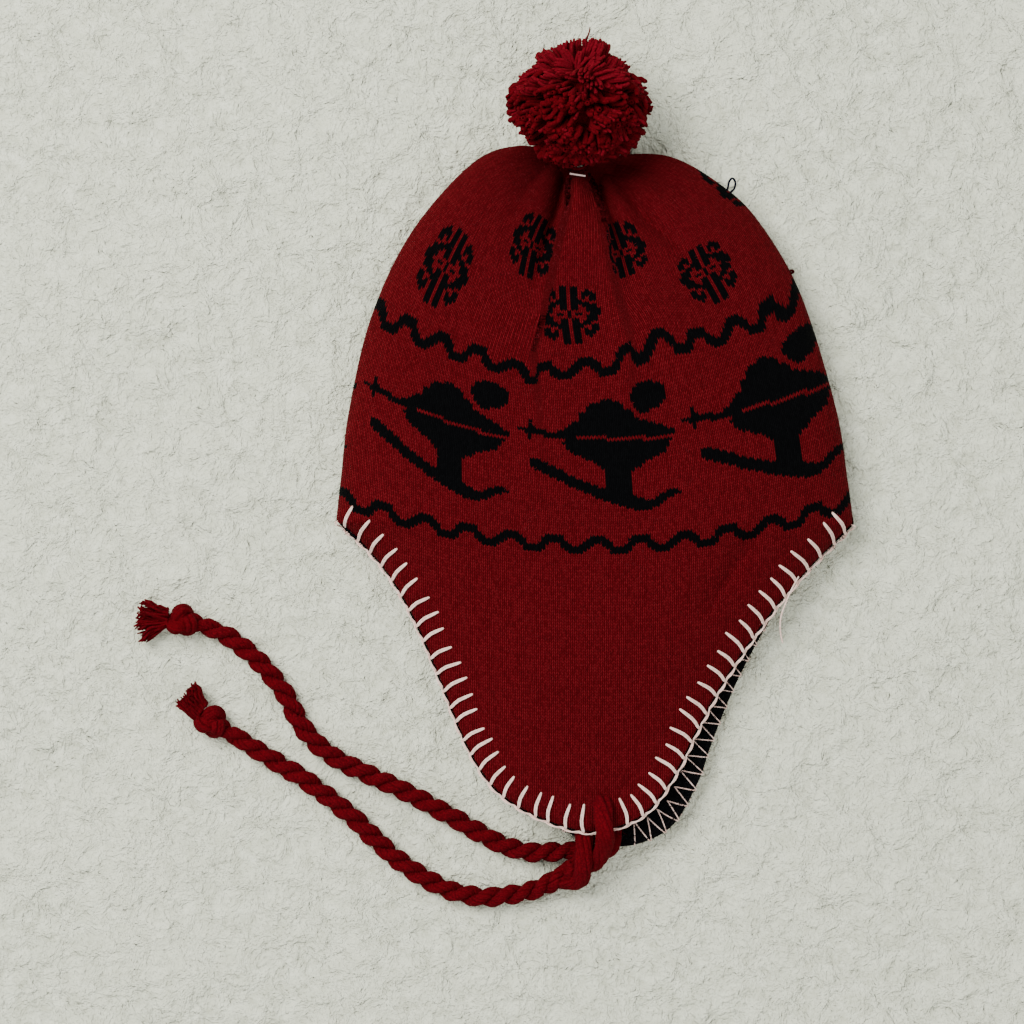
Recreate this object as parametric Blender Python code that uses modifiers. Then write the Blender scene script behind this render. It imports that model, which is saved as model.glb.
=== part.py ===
"""A knitted earflap hat with a pompom, a fleece lining and two tie cords, lying flat on its side.

Metres, +Z up, +Y towards the pompom, +X to the right of a viewer who looks down on the near side.
The tables below are in millimetres, and MM turns them into metres.
"""

import math

import bmesh
import bpy
from mathutils import Matrix, Vector

MM = 0.001

# Layers
KNIT = 2.5
FLEECE = 3.0
LAYER_GAP = 0.3
LINING_INSET = 4.2

# Plan of the hat: each rib is one knitted course, as its left fold, its middle and its right fold
RIBS = [
    ((-128.5, -40), (0, -63), (129, -42)),
    ((-126, -18), (-1, -43), (126, -20)),
    ((-122, 15), (-3, -12), (120, 16)),
    ((-111, 61), (-6, 32), (103, 71)),
    ((-91, 103), (-10, 62), (84, 105)),
    ((-61, 137), (-11, 91), (65.5, 124.5)),
    ((-38, 146), (-10, 113), (36, 141)),
    ((-20, 142), (-9.5, 128), (2, 140)),
    ((-14.5, 135.5), (-9, 133), (-3.5, 135.5)),
]
# Height of the near side's middle, of the folds and of the underside's middle at each rib
RIB_HEIGHTS = [
    (35.5, 10, 0),
    (36.5, 11, 0),
    (37, 12, 0),
    (37, 13, 0),
    (35, 14, 0),
    (31, 14.5, 0.5),
    (25, 14, 2.5),
    (20, 13, 6),
    (18.5, 13, 7.5),
]
# Edge of the near flap, from the left brim corner round the tip to the right one
FLAP_EDGE = [
    (-128.5, -40),
    (-112, -55),
    (-98, -73),
    (-86, -96),
    (-76, -120),
    (-62, -154),
    (-47, -175),
    (-24, -188.5),
    (0, -194),
    (24, -185.5),
    (40, -165),
    (50, -145),
    (65, -118),
    (82, -93),
    (97, -74),
    (112, -58),
    (129, -42),
]
# The far flap lies askew: its tip is this far from the near flap's
FAR_TIP_SHIFT = (14, -7.5)
FAR_TIP_LIFT = 4.9
TIP_Y = -194

# Height of the near layer against Y: its middle, and its free edge
NEAR_MIDDLE = [(-194, 22.3), (-175, 22.4), (-150, 24), (-120, 28.5), (-75, 34), (-42, 36), (0, 37)]
NEAR_EDGE = [(-194, 22), (-175, 21.9), (-150, 18), (-130, 17), (-100, 18), (-75, 20), (-42, 10)]
FAR_EDGE = [(-100, 0), (-75, 1.5), (-42, 10)]
# The cross-section is full and round at the folds, and gently arched at the flap's free edge
FOLD_POWER = 4
FREE_POWER = 3
ROUND_SIDES = [(-75, 1), (-42, 2)]
UNDERSIDE_POWER = 8
FLAT_BELOW = 0.3
# The far flap's tip lies higher, on the ties: its lift starts at this Y and is whole after this run
FAR_LIFT_START = -125
FAR_LIFT_RUN = 40
# A layer inset from the outer one moves in from its sides by this many times its inset
SIDE_INSET = 1.7
# Past this share of the half width, the crown's lower edge leaves the hinge line for the flap's edge
CORNER_AT = 0.72
# How far an inset layer's lower edge draws back, in insets: in the middle, and added at the corners
LOWER_DRAW_BACK = 0.2
CORNER_DRAW_BACK = 2
CORNER_POWER = 20
# Right at the corners the layers come together
CORNER_PINCH_POWER = 60

# Flap hinges
HINGE_Y = -75
HINGE_GAP = 1.2
# The flap's last row stops at this share of the edge, so that its end is as blunt as the tip
BLUNT_TIP = 0.84
FLAP_ROWS = 8

# Blanket stitch
STITCH_PITCH = 8.6
STITCH_LEG = 12
STITCH_WIDTH = 1.4
STITCH_THICK = 1.1
STITCH_CLEAR = 0.9
BRIM_LEG = 6
BRIM_CLEAR = 3
# The edge thread's outer and inner side, outside the fabric's edge
STITCH_EDGE = (-1.6, -0.45)
# Where each row of stitches runs, as shares of the flap edge's length from the left brim corner
FLAP_STITCHED = (0.15, 0.855)
LEFT_STITCHED = (0.03, 0.092)
RIGHT_STITCHED = (0.908, 0.97)
# Left and right X between which a tie stands in for the legs of stitches below TIES_BELOW
NEAR_TIE_SPACE = (-3, 11)
FAR_TIE_SPACE = (-16, 26)
TIES_BELOW = -150

# Ties
TIE = 10
TIE_LEG = 4.6
TIE_HOLE = 10
NEAR_HOLE = (3, -174)
FAR_HOLE = (12, -181)

# Each tie is doubled through its flap: one leg outside the flap and one inside it
NEAR_LEGS = [
    (-3.6, -212, 11),
    (-1, -210.5, 11.8),
    (2, -207, 16),
    (4.2, -202, 22.2),
    (4.8, -196.5, 26.4),
    (4.4, -190, 26.4),
    (3.8, -182, 25),
    (3, -177, 24.4),
    (3, -174, 19.5),
    (2.6, -176, 14.4),
    (0, -182, 13.2),
    (-3.6, -189, 13.2),
    (-5, -194.5, 13.8),
    (-5.2, -200, 16.2),
    (-5.4, -206, 17),
    (-5.8, -211.5, 15.6),
    (-6.3, -216, 12.4),
    (-6.8, -218.6, 9),
]
FAR_LEGS = [
    (-11.4, -204.8, 7.4),
    (-5, -205.4, 7.4),
    (1, -205.8, 8.8),
    (6, -205.4, 13),
    (9, -202.8, 17.6),
    (10.6, -195, 13.6),
    (12, -188, 13.1),
    (12.2, -183.5, 12.4),
    (12, -181, 8),
    (12, -183.5, 3.4),
    (11.6, -188, 2.35),
    (10, -196, 2.35),
    (6, -202.6, 2.35),
    (0, -204.8, 2.35),
    (-6, -205, 2.35),
    (-11.4, -204.8, 2.35),
]
# Routes of the twisted cords: the near one comes down to the table, where the rest of it lies
NEAR_ROUTE = [
    (-14, -215.3, 10.5),
    (-18.5, -218.6, 8.6),
    (-23.5, -221.6, 6.4),
    (-29, -224, 5.2),
    (-35, -225.8, 5),
    (-43, -227.2, 5),
    (-55, -228, 5),
    (-66, -226.5, 5),
    (-77, -222.5, 5),
    (-88, -216.5, 5),
    (-99, -208.5, 5),
    (-108, -200.5, 5),
    (-118, -190.5, 5),
    (-129, -181, 5),
    (-137, -175, 5),
    (-145, -169, 5),
    (-154, -163.5, 5),
    (-164, -157.5, 5),
    (-174, -151, 5),
    (-182.5, -145.5, 5),
]
FAR_ROUTE = [
    (-12, -204.8, 5),
    (-25, -205.8, 5),
    (-37, -204.8, 5),
    (-49, -200.5, 5),
    (-60, -194.5, 5),
    (-71, -188, 5),
    (-82, -182, 5),
    (-95, -175, 5),
    (-108, -169, 5),
    (-124, -161.5, 5),
    (-135, -154.5, 5),
    (-143, -146.5, 5),
    (-148.5, -138, 5),
    (-153, -129, 5),
    (-159, -120, 5),
    (-166, -112, 5),
    (-174, -104.5, 5),
    (-184, -97.5, 5),
    (-196, -92, 5),
]
# Centre, half size and heading in degrees of each knot, and its tassel's root and tip
NEAR_KNOT = ((-190.5, -140.5, 8), (9, 7.5, 7.6), -35)
NEAR_TASSEL = ((-197.9, -133.4, 7.6), (-206, -126.6, 8.6))
FAR_KNOT = ((-206, -90, 8), (9.5, 7.8, 7.6), -10)
FAR_TASSEL = ((-216.2, -88.4, 7.6), (-228.5, -87.4, 8.6))
TASSEL_RADII = (4.2, 8.2)

# Pompom
POMPOM_CENTRE = (-7, 170, 36)
POMPOM_HALF = (34.5, 31.5, 31)
SHANK_RADIUS = 2
SHANK_START = (-8.9, 136.6, 14)
SHANK_END = (-8.7, 142.5, 18.2)
# The shank's knot inside the crown: centre and half size
ANCHOR_KNOT = ((-9.5, 127, 11.1), (4, 2.4, 1.8))
# The drawn thread round the shank: the ring's radius and half its thickness
GATHER_RING = (4, 0.7)
PIN_ENDS = [(-12.4, 131.6, 21), (-4.6, 130.4, 21)]
PIN_RADIUS = 0.45

# How finely curves and surfaces are cut
ALONG_RIB = 16
ALONG_FLAP = 12
ALONG_EDGE = 240
ALONG_CURVE = 400
FOLD_STEPS = 20
CROWN_RIBS = (0, 1, 2, 3, 4, 4.5, 5, 5.5, 6, 7, 8)
LINING_RIBS = (0.3, 1, 2, 3, 3.8, 4.4, 4.9)
LEG_POINTS = 40
CORD_POINTS = 26


def clear_scene():
    for item in list(bpy.data.objects):
        bpy.data.objects.remove(item, do_unlink=True)


def material(name, colour, roughness):
    finish = bpy.data.materials.new(name)
    finish.use_nodes = True
    shader = finish.node_tree.nodes["Principled BSDF"]
    shader.inputs["Base Color"].default_value = (*colour, 1)
    shader.inputs["Roughness"].default_value = roughness
    shader.inputs["Metallic"].default_value = 0
    return finish


def add_object(name, data, finish, collection):
    item = bpy.data.objects.new(name, data)
    data.materials.append(finish)
    collection.objects.link(item)
    return item


# Curves and sections


def smooth_at(points, t):
    """The point at t, from 0 to len(points) - 1, of a smooth curve through the points."""
    i = max(0, min(len(points) - 2, int(t)))
    f = t - i
    p1, p2 = Vector(points[i]), Vector(points[i + 1])
    p0 = Vector(points[i - 1]) if i else 2 * p1 - p2
    p3 = Vector(points[i + 2]) if i + 2 < len(points) else 2 * p2 - p1
    turn = (2 * p0 - 5 * p1 + 4 * p2 - p3) * f * f
    sway = (3 * p1 - p0 - 3 * p2 + p3) * f**3
    return (2 * p1 + (p2 - p0) * f + turn + sway) / 2


def even_curve(points, count):
    """count points, evenly spaced along a smooth curve through the points."""
    fine = [smooth_at(points, k * (len(points) - 1) / ALONG_CURVE) for k in range(ALONG_CURVE + 1)]
    run = [0]
    for a, b in zip(fine, fine[1:]):
        run.append(run[-1] + (b - a).length)
    found = []
    k = 0
    for step in range(count):
        target = run[-1] * step / (count - 1)
        while k < ALONG_CURVE - 1 and run[k + 1] < target:
            k += 1
        found.append(fine[k].lerp(fine[k + 1], (target - run[k]) / max(run[k + 1] - run[k], 1e-9)))
    return found


def table_at(table, y):
    """The value at y of a table of (y, value), held at both ends."""
    if y <= table[0][0]:
        return table[0][1]
    for (y0, v0), (y1, v1) in zip(table, table[1:]):
        if y <= y1:
            return v0 + (v1 - v0) * (y - y0) / (y1 - y0)
    return table[-1][1]


def ease(t):
    t = max(0, min(1, t))
    return t * t * (3 - 2 * t)


EDGE = even_curve([(x, y, 0) for x, y in FLAP_EDGE], ALONG_EDGE + 1)
# The folds up to the seventh rib, above which the crown turns in to its gather
FOLD_PLACES = [step / FOLD_STEPS for step in range(6 * FOLD_STEPS + 1)]
FOLDS = [[smooth_at([rib[side] for rib in RIBS], t) for t in FOLD_PLACES] for side in (0, 2)]


def crossing(line, y):
    """X where a line of points crosses y."""
    for a, b in zip(line, line[1:]):
        if (a.y - y) * (b.y - y) <= 0 and a.y != b.y:
            return a.x + (b.x - a.x) * (y - a.y) / (b.y - a.y)
    return line[-1].x


def edge_half(side):
    """The flap's edge from a brim corner down to the tip: side 0 is the left one, 1 the right one."""
    tip = min(range(len(EDGE)), key=lambda k: EDGE[k].y)
    return EDGE[: tip + 1] if side == 0 else EDGE[tip:][::-1]


def across(x, y):
    """How far x is from the middle of the hat at y, as a share of the half width."""
    lines = [edge_half(side) if y < EDGE[-1].y else FOLDS[side] for side in (0, 1)]
    left, right = (crossing(line, y) for line in lines)
    return min(1, abs(2 * (x - left) / max(right - left, 1) - 1))


def near_height(x, y):
    """Height of the near layer's outer surface on the flap and near the brim."""
    middle, edge, root = (table_at(table, y) for table in (NEAR_MIDDLE, NEAR_EDGE, ROUND_SIDES))
    power = FREE_POWER + (FOLD_POWER - FREE_POWER) * (root - 1)
    return edge + (middle - edge) * (1 - across(x, y) ** power) ** (1 / root)


def far_height(x, y):
    """Height of the underside on the flap and near the brim."""
    rise = table_at(FAR_EDGE, y) * (1 - (1 - across(x, y) ** UNDERSIDE_POWER) ** 0.5)
    return max(0, rise - FLAT_BELOW) + FAR_TIP_LIFT * ease((FAR_LIFT_START - y) / FAR_LIFT_RUN)


def rib_plan(t, w):
    """Where a point w, from -1 at the left fold to 1 at the right one, lies in plan on rib t."""
    left, middle, right = (smooth_at([rib[k] for rib in RIBS], t) for k in range(3))
    return middle + w * (right - left) / 2 + w * w * ((right + left) / 2 - middle)


def rib_point(t, w, near, inset=0):
    """A point of the crown on rib t, on its near side or on its underside, inset from the outer surface."""
    spot = rib_plan(t, w)
    top, fold, bottom = smooth_at(RIB_HEIGHTS, t)
    roundness = ease((t - 4) / 4)
    if near:
        power = FOLD_POWER + (2 - FOLD_POWER) * roundness
        height = fold + (top - fold) * (1 - abs(w) ** power) ** 0.5
        low = near_height(spot.x, spot.y) if t < 1 else height
    else:
        power = UNDERSIDE_POWER + (2 - UNDERSIDE_POWER) * roundness
        height = fold - (fold - bottom) * (1 - abs(w) ** power) ** 0.5
        height = max(0, height - FLAT_BELOW)
        low = far_height(spot.x, spot.y) if t < 1 else height
    height = low + (height - low) * ease(t)
    inset *= 1 + ease((t - 2) / 2)
    depth = (top if near else bottom) - fold
    height = fold + (height - fold) * (1 - inset / abs(depth))
    middle, half = (rib_plan(t, 1) + rib_plan(t, -1)) / 2, (rib_plan(t, 1) - rib_plan(t, -1)).length / 2
    spot = middle + (spot - middle) * (1 - SIDE_INSET * inset / half)
    return Vector((spot.x, spot.y, height))


def brim_point(w, near, inset=0):
    """A point of the crown's lower edge: the flap's edge near the corners, and the hinge line between."""
    x = rib_plan(0, w).x
    half = edge_half(0 if x < 0 else 1)
    on_edge = next((a.y for a in half if abs(a.x) <= abs(x)), HINGE_Y)
    y = HINGE_Y if abs(w) < CORNER_AT else max(HINGE_Y, on_edge)
    if abs(w) == 1:
        y = rib_plan(0, w).y
    deeper = inset * (1 - abs(w) ** CORNER_PINCH_POWER)
    height = near_height(x, y) - deeper if near else far_height(x, y) + deeper
    drawn_back = inset * (LOWER_DRAW_BACK + CORNER_DRAW_BACK * w**CORNER_POWER)
    return Vector((x - SIDE_INSET * w * inset, y + drawn_back, height))


def around():
    """The stations round a rib: the near side from left to right, then the underside back."""
    spaced = [-math.cos(math.pi * k / ALONG_RIB) for k in range(ALONG_RIB + 1)]
    return [(w, True) for w in spaced] + [(w, False) for w in spaced[-2:0:-1]]


# Meshes


def grid_faces(rows, columns, closed):
    """Quads of a grid of rows and columns, whose last column may join the first."""
    faces = []
    for r in range(rows - 1):
        for c in range(columns if closed else columns - 1):
            low, high = r * columns, (r + 1) * columns
            after = (c + 1) % columns
            faces.append((low + c, low + after, high + after, high + c))
    return faces


def mesh_of(name, points, faces, flip=False):
    mesh = bpy.data.meshes.new(name)
    if flip:
        faces = [face[::-1] for face in faces]
    mesh.from_pydata([Vector(p) * MM for p in points], [], faces)
    mesh.shade_smooth()
    return mesh


def add_layer(item, thick, inset=0):
    """Turns a surface into a layer: inset below the surface, then thick."""
    if inset:
        shift = item.modifiers.new("Inset", "DISPLACE")
        shift.mid_level = 0
        shift.strength = -inset * MM
    shell = item.modifiers.new("Thickness", "SOLIDIFY")
    shell.thickness = thick * MM
    shell.offset = -1
    shell.use_even_offset = False


def crown_surface(name, ribs, inset=0, closed_top=False):
    """A surface inset from the crown's outer one, from its lower edge up through the given ribs."""
    stations = around()
    points = [brim_point(w, near, inset) for w, near in stations]
    for t in ribs:
        points += [rib_point(t, w, near, inset) for w, near in stations]
    faces = grid_faces(len(ribs) + 1, len(stations), True)
    if closed_top:
        first = len(points) - len(stations)
        ring = points[first:]
        points.append(sum(ring, Vector()) / len(ring))
        top = len(points) - 1
        faces += [(first + k, first + (k + 1) % len(stations), top) for k in range(len(stations))]
    return mesh_of(name, points, faces)


def flap_plan(row, w):
    """Where a point w lies in plan on row, from 0 at the hinge to 1 at the tip."""
    ends = []
    for side in (0, 1):
        half = [p for p in edge_half(side) if p.y <= HINGE_Y]
        ends.append(half[round(row * (len(half) - 1) * BLUNT_TIP)])
    left, right = ends
    middle = Vector((0, HINGE_Y + (TIP_Y - HINGE_Y) * row, 0))
    spot = middle + w * (right - left) / 2 + w * w * ((right + left) / 2 - middle)
    if row == 0:
        spot.y = HINGE_Y - HINGE_GAP
    return spot


def far_place(spot):
    """Where a point of the near flap's plan lies on the far flap, which is askew."""
    share = max(0, min(1, (spot.y - HINGE_Y) / (TIP_Y - HINGE_Y)))
    return Vector((spot.x + FAR_TIP_SHIFT[0] * share, spot.y + FAR_TIP_SHIFT[1] * share, 0))


def flap_point(row, w, near):
    spot = flap_plan(row, w)
    if near:
        return Vector((spot.x, spot.y, near_height(spot.x, spot.y)))
    place = far_place(spot)
    return Vector((place.x, place.y, far_height(spot.x, spot.y)))


def flap_surface(name, near):
    spaced = [2 * k / ALONG_FLAP - 1 for k in range(ALONG_FLAP + 1)]
    points = [flap_point(r / FLAP_ROWS, w, near) for r in range(FLAP_ROWS + 1) for w in spaced]
    return mesh_of(name, points, grid_faces(FLAP_ROWS + 1, len(spaced), False), flip=near)


def hole_cutter(name, place, collection):
    bpy.ops.mesh.primitive_cylinder_add(
        vertices=16, radius=TIE_HOLE / 2 * MM, depth=60 * MM, location=Vector((*place, 10)) * MM
    )
    cutter = bpy.context.object
    cutter.name = name
    cutter.hide_render = True
    cutter.display_type = "WIRE"
    for owner in list(cutter.users_collection):
        owner.objects.unlink(cutter)
    collection.objects.link(cutter)
    return cutter


def cut_hole(item, cutter):
    cut = item.modifiers.new("Tie hole", "BOOLEAN")
    cut.operation = "DIFFERENCE"
    cut.object = cutter


def stitch_surface(name, run, height, leg_at, leg, clear):
    """Blanket stitches along run: an edge thread just outside the fabric, and a leg at each stitch."""
    points, faces = [], []
    for k in range(len(run)):
        before, after = run[max(0, k - 1)], run[min(len(run) - 1, k + 1)]
        along = (after - before).normalized()
        inward = Vector((-along.y, along.x, 0))
        half = along * STITCH_WIDTH / 2
        for depth in (*STITCH_EDGE, leg):
            for side in (-1, 1):
                spot = run[k] + inward * depth + half * side
                points.append(Vector((spot.x, spot.y, height(run[k] if depth < 0 else spot) + clear)))
        first = 6 * k
        faces.append((first, first + 1, first + 3, first + 2))
        if leg_at(run[k]):
            faces.append((first + 2, first + 3, first + 5, first + 4))
        if k:
            faces.append((first - 5, first, first + 2, first - 3))
    mesh = mesh_of(name, points, faces)
    loose = bmesh.new()
    loose.from_mesh(mesh)
    bmesh.ops.delete(loose, geom=[v for v in loose.verts if not v.link_faces], context="VERTS")
    loose.to_mesh(mesh)
    loose.free()
    return mesh


def stitch_run(low, high, shift=False):
    """Evenly spaced points of the flap's edge between two places given as shares of its whole length."""
    length = sum((b - a).length for a, b in zip(EDGE, EDGE[1:]))
    count = max(2, round((high - low) * length / STITCH_PITCH) + 1)
    places = [low + (high - low) * k / (count - 1) for k in range(count)]
    run = [EDGE[round(place * (len(EDGE) - 1))].copy() for place in places]
    return [far_place(spot) for spot in run] if shift else run


def add_stitching(name, run, height, leg_at, finish, collection, leg=STITCH_LEG, clear=STITCH_CLEAR):
    item = add_object(name, stitch_surface(name, run, height, leg_at, leg, clear), finish, collection)
    shell = item.modifiers.new("Thickness", "SOLIDIFY")
    shell.thickness = STITCH_THICK * MM
    shell.offset = 1
    return item


def add_tube(name, route, radius, finish, collection, count, round_by=3):
    """A round tube along a smooth curve through the route."""
    curve = bpy.data.curves.new(name, "CURVE")
    curve.dimensions = "3D"
    curve.bevel_depth = radius * MM
    curve.bevel_resolution = round_by
    curve.use_fill_caps = True
    line = curve.splines.new("POLY")
    points = even_curve(route, count)
    line.points.add(len(points) - 1)
    for spot, place in zip(line.points, points):
        spot.co = (*(place * MM), 1)
    return add_object(name, curve, finish, collection)


def add_ball(name, centre, half, heading, finish, collection, detail=2):
    mesh = bpy.data.meshes.new(name)
    ball = bmesh.new()
    bmesh.ops.create_icosphere(ball, subdivisions=detail, radius=1)
    bmesh.ops.scale(ball, verts=ball.verts, vec=Vector(half) * MM)
    ball.to_mesh(mesh)
    ball.free()
    mesh.shade_smooth()
    item = add_object(name, mesh, finish, collection)
    item.location = Vector(centre) * MM
    item.rotation_euler.z = math.radians(heading)
    return item


def add_tassel(name, ends, finish, collection):
    """A tuft of cut yarn ends, which spreads from its root to its tip."""
    root, tip = (Vector(end) for end in ends)
    mesh = bpy.data.meshes.new(name)
    tuft = bmesh.new()
    bmesh.ops.create_cone(
        tuft,
        cap_ends=True,
        segments=14,
        radius1=TASSEL_RADII[0] * MM,
        radius2=TASSEL_RADII[1] * MM,
        depth=(tip - root).length * MM,
    )
    tuft.to_mesh(mesh)
    tuft.free()
    item = add_object(name, mesh, finish, collection)
    turn = (tip - root).to_track_quat("Z", "Y").to_matrix().to_4x4()
    item.matrix_world = Matrix.Translation((root + tip) / 2 * MM) @ turn
    return item


def add_ring(name, centre, facing, radius, thick, finish, collection):
    """A turned ring: its round profile is swept round its axis."""
    mesh = bpy.data.meshes.new(name)
    profile = bmesh.new()
    sides = 8
    spots = [
        profile.verts.new(
            (
                (radius + thick * math.cos(2 * math.pi * k / sides)) * MM,
                0,
                -thick * math.sin(2 * math.pi * k / sides) * MM,
            )
        )
        for k in range(sides)
    ]
    for a, b in zip(spots, spots[1:] + spots[:1]):
        profile.edges.new((a, b))
    profile.to_mesh(mesh)
    profile.free()
    item = add_object(name, mesh, finish, collection)
    sweep = item.modifiers.new("Sweep", "SCREW")
    sweep.steps = sweep.render_steps = 20
    sweep.use_merge_vertices = True
    sweep.merge_threshold = 0.00001
    turn = Vector(facing).to_track_quat("Z", "Y").to_matrix().to_4x4()
    item.matrix_world = Matrix.Translation(Vector(centre) * MM) @ turn
    return item


# Sub-parts


def build_crown(hat, knit, fleece):
    tube = crown_surface("cap_knit_shell", CROWN_RIBS)
    shell = add_object("cap_knit_shell", tube, knit, hat)
    add_layer(shell, KNIT)
    dome = crown_surface("cap_lining", LINING_RIBS, LINING_INSET, closed_top=True)
    lining = add_object("cap_lining", dome, fleece, hat)
    add_layer(lining, FLEECE)


def build_flaps(hat, cutters, knit, fleece):
    for side, near, hole in (("near", True, NEAR_HOLE), ("far", False, FAR_HOLE)):
        cutter = hole_cutter(f"{side}_hole", hole, cutters)
        outer = add_object(f"{side}_flap_knit", flap_surface(f"{side}_flap_knit", near), knit, hat)
        add_layer(outer, KNIT)
        cut_hole(outer, cutter)
        inner = add_object(f"{side}_flap_lining", flap_surface(f"{side}_flap_lining", near), fleece, hat)
        add_layer(inner, FLEECE, KNIT + LAYER_GAP)
        cut_hole(inner, cutter)


def near_top(spot):
    return near_height(spot.x, spot.y)


def far_inner_height(spot):
    """Height of the far flap's fleece: the edge's own height is read a little inside it."""
    return far_height(spot.x, spot.y + FLEECE) + KNIT + LAYER_GAP + FLEECE


def clear_of(space):
    """Says of a place on the edge whether a stitch's leg there is clear of the tie."""
    low, high = space
    return lambda spot: not low < spot.x < high or spot.y > TIES_BELOW


def build_stitching(hat, thread):
    flap, left, right = stitch_run(*FLAP_STITCHED), stitch_run(*LEFT_STITCHED), stitch_run(*RIGHT_STITCHED)
    far_flap = stitch_run(*FLAP_STITCHED, shift=True)
    off_near_tie, off_ties = clear_of(NEAR_TIE_SPACE), clear_of(FAR_TIE_SPACE)
    add_stitching("near_flap_stitching", flap, near_top, off_near_tie, thread, hat)
    add_stitching("far_flap_stitching", far_flap, far_inner_height, off_ties, thread, hat)
    add_stitching("brim_stitching_left", left, near_top, off_ties, thread, hat, BRIM_LEG, BRIM_CLEAR)
    add_stitching("brim_stitching_right", right, near_top, off_ties, thread, hat, BRIM_LEG, BRIM_CLEAR)


def build_ties(hat, yarn):
    plan = (
        ("near", NEAR_LEGS, NEAR_ROUTE, NEAR_KNOT, NEAR_TASSEL),
        ("far", FAR_LEGS, FAR_ROUTE, FAR_KNOT, FAR_TASSEL),
    )
    for side, legs, route, knot, tassel in plan:
        add_tube(f"{side}_tie_loop", legs, TIE_LEG / 2, yarn, hat, LEG_POINTS, 2)
        add_tube(f"{side}_tie_cord", route, TIE / 2, yarn, hat, CORD_POINTS, 3)
        add_ball(f"{side}_tie_knot", *knot, yarn, hat)
        add_tassel(f"{side}_tie_tassel", tassel, yarn, hat)


def build_pompom(hat, yarn, plastic):
    add_ball("pompom", POMPOM_CENTRE, POMPOM_HALF, 0, yarn, hat, detail=3)
    add_tube("pompom_shank", [SHANK_START, SHANK_END], SHANK_RADIUS, yarn, hat, 3, 2)
    add_ball("pompom_anchor_knot", *ANCHOR_KNOT, 0, yarn, hat)
    facing = Vector(SHANK_END) - Vector(SHANK_START)
    add_ring("gather_thread", SHANK_START, facing, *GATHER_RING, yarn, hat)
    add_tube("tag_pin", PIN_ENDS, PIN_RADIUS, plastic, hat, 3, 1)


def main():
    clear_scene()
    hat = bpy.data.collections.new("earflap_hat")
    cutters = bpy.data.collections.new("cutters")
    for collection in (hat, cutters):
        bpy.context.scene.collection.children.link(collection)
    knit = material("red_knit", (0.16, 0.006, 0.008), 0.95)
    fleece = material("black_fleece", (0.006, 0.006, 0.007), 1)
    yarn = material("crimson_yarn", (0.24, 0.004, 0.012), 0.9)
    thread = material("pale_thread", (0.75, 0.62, 0.55), 0.8)
    plastic = material("clear_plastic", (0.6, 0.5, 0.45), 0.4)
    build_crown(hat, knit, fleece)
    build_flaps(hat, cutters, knit, fleece)
    build_stitching(hat, thread)
    build_ties(hat, yarn)
    build_pompom(hat, yarn, plastic)


main()
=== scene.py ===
import math

import bpy
import numpy as np
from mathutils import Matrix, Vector


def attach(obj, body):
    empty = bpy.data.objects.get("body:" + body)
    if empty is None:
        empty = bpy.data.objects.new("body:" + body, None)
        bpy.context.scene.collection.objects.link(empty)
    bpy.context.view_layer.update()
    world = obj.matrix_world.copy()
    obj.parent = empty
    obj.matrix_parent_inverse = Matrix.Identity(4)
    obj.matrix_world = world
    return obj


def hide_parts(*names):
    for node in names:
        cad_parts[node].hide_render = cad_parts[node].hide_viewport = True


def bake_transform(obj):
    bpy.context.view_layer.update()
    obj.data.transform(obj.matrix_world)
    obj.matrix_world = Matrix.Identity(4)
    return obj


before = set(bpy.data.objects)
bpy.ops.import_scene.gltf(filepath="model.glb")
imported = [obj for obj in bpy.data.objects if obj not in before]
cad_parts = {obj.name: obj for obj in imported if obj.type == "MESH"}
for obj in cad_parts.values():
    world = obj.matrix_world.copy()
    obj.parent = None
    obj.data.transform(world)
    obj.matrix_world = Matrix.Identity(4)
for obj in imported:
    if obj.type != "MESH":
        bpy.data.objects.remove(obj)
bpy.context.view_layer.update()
MM = 0.001
RNG = np.random.default_rng(7)

# ---- tables, mm
# Each rib's left fold, middle and right fold, in plan, from the brim to the gather
RIBS = np.array([
    [(-128.5, -40), (0, -63), (129, -42)], [(-126, -18), (-1, -43), (126, -20)],
    [(-122, 15), (-3, -12), (120, 16)], [(-111, 61), (-6, 32), (103, 71)],
    [(-91, 103), (-10, 62), (84, 105)], [(-61, 137), (-11, 91), (65.5, 124.5)],
    [(-38, 146), (-10, 113), (36, 141)], [(-20, 142), (-9.5, 128), (2, 140)],
    [(-14.5, 135.5), (-9, 133), (-3.5, 135.5)]], float)
# Each rib's height on the near side, at the folds and on the far side
HEIGHTS = np.array([(35.5, 10, 0), (36.5, 11, 0), (37, 12, 0), (37, 13, 0), (35, 14, 0),
                    (31, 14.5, .5), (25, 14, 2.5), (20, 13, 6), (18.5, 13, 7.5)], float)
FLAP_EDGE = [
    (-128.5, -40), (-112, -55), (-98, -73), (-86, -96), (-76, -120), (-62, -154), (-47, -175),
    (-24, -188.5), (0, -194), (24, -185.5), (40, -165), (50, -145), (65, -118), (82, -93), (97, -74),
    (112, -58), (129, -42)]
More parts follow.
